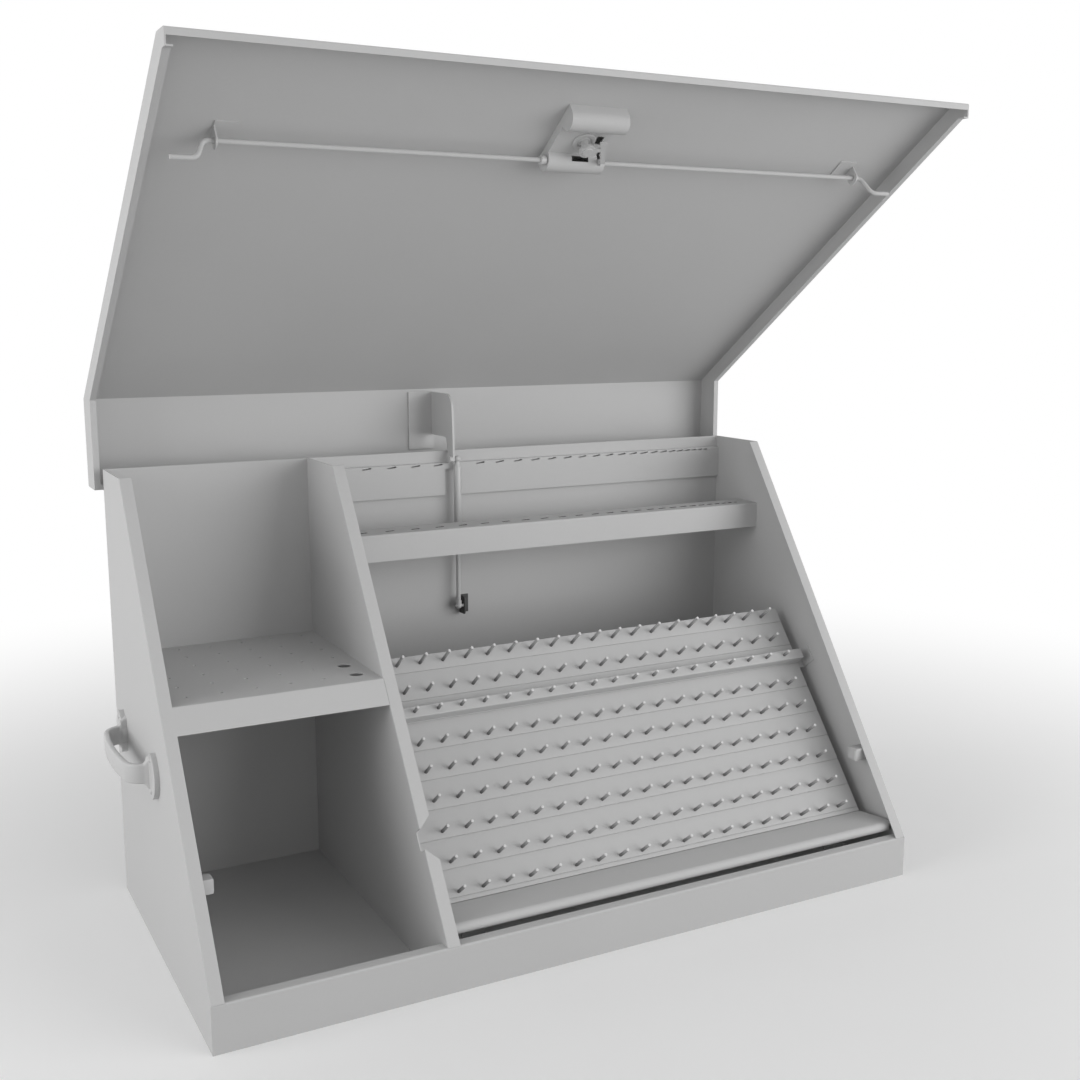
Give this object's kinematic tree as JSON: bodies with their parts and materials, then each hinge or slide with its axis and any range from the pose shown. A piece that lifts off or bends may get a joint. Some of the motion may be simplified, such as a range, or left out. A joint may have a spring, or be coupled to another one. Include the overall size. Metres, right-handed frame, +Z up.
{
  "type": "tool chest",
  "caption": "Sloping-front steel tool chest: lift-up hood lid on a gas strut, rod latch, peg tray, slotted rails, divider, shelf and side handles.",
  "frame": {"origin": "middle of the case's footprint, on the surface it stands on; lid open as pictured", "axes": "+X to the right seen from the open front, +Y to the hinge side, +Z up"},
  "size_m": [0.9824, 0.533, 0.975],
  "materials": {
    "case_paint": "light grey powder coat, matte",
    "lid_paint": "light grey powder coat, matte",
    "tray_paint": "light grey powder coat, matte",
    "hardware": "light grey, matte",
    "strut": "light grey, satin"
  },
  "bodies": {
    "case": {"left_side_panel": "case_paint", "right_side_panel": "case_paint", "back_panel": "case_paint", "bottom_panel": "case_paint", "front_sill": "case_paint", "divider_panel": "case_paint", "left_shelf": "case_paint", "front_tool_rail": "case_paint", "rear_tool_rail": "case_paint", "tray_panel": "tray_paint", "tray_slats": "tray_paint", "tray_ridge": "tray_paint", "tray_nose": "tray_paint", "tray_pegs": "tray_paint", "tray_bracket_left": "tray_paint", "tray_bracket_right": "tray_paint", "tray_feet": "tray_paint", "striker_left": "hardware", "striker_right": "hardware", "handle_left": "hardware", "handle_right": "hardware", "handle_screws": "hardware", "hinge_case_leaf": "hardware", "hinge_pin": "hardware", "hinge_rivets": "hardware", "strut_case_bracket": "hardware", "strut_lower_stud": "hardware"},
    "lid": {"lid_shell": "lid_paint", "hinge_lid_leaf": "hardware", "latch_housing": "hardware", "rod_guide_left": "hardware", "rod_guide_right": "hardware", "lock_body": "hardware", "strut_lid_bracket": "hardware", "strut_nut": "hardware"},
    "latch": {"latch_rod": "hardware", "rod_lever": "hardware", "rod_collar": "hardware"},
    "lock": {"lock_plug": "hardware", "lock_handle": "hardware", "lock_cam": "hardware"},
    "strut_rod_body": {"strut_rod": "strut", "strut_lower_eye": "strut"},
    "strut_cylinder_body": {"strut_cylinder": "strut", "strut_upper_socket": "strut"}
  },
  "joints": [
    {"name": "lid_hinge", "type": "hinge", "parent": "case", "child": "lid", "pos_m": [0, 0.2316, 0.51475], "axis": [1, 0, 0], "range_deg": [0, 90]},
    {"name": "lock_turn", "type": "hinge", "parent": "lid", "child": "lock", "pos_m": [0, -0.15358, 0.92463], "axis": [0, -0.5673, -0.8235], "range_deg": [0, 90]},
    {"name": "rod_turn", "type": "hinge", "parent": "lid", "child": "latch", "pos_m": [0, -0.13806, 0.89693], "axis": [-1, 0, 0], "range_deg": [0, 42]},
    {"name": "strut_tilt", "type": "hinge", "parent": "case", "child": "strut_rod_body", "pos_m": [0.0103, 0.20485, 0.3273], "axis": [-1, 0, 0], "range_deg": [0, 2.6]},
    {"name": "strut_slide", "type": "slide", "parent": "strut_rod_body", "child": "strut_cylinder_body", "axis": [0, 0, -1], "range_m": [0, 0.0465]}
  ],
  "couplings": [
    {"joint": "rod_turn", "follows": "lock_turn", "ratio": 0.46667},
    {"joint": "strut_tilt", "follows": "lid_hinge", "ratio": 0.0285},
    {"joint": "strut_slide", "follows": "lid_hinge", "m_per_rad": 0.029348}
  ]
}
